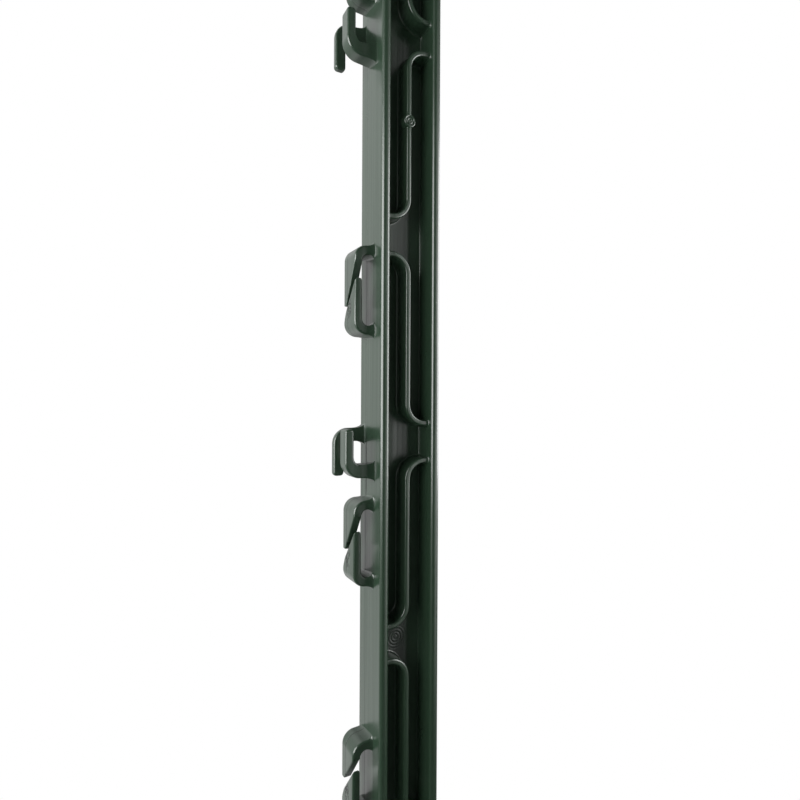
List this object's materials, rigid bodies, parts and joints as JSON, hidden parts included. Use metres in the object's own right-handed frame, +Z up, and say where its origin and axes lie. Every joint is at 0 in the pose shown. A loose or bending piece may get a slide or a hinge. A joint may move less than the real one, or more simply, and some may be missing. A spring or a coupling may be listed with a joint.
{
  "type": "plastic step-in fence post",
  "caption": "Step-in electric fence post: a ribbed double-T post of green plastic with tape clips and rope hooks on one edge, a double tread and a steel ground spike.",
  "frame": {"origin": "the spike's axis where it leaves the underside of the tread, which is the ground line", "axes": "+Z up along the post and the spike's axis; -Y towards the viewer's side, the deep channel with the S-shaped ribs; -X out of the flange that carries the clips and hooks"},
  "size_m": [0.11, 0.0314, 1.05],
  "materials": {
    "post_plastic": "dark green polypropylene as moulded, satin to glossy",
    "spike_steel": "galvanised round bar"
  },
  "bodies": {
    "root": {"moulded_post": "post_plastic", "ground_spike": "spike_steel"}
  },
  "joints": []
}
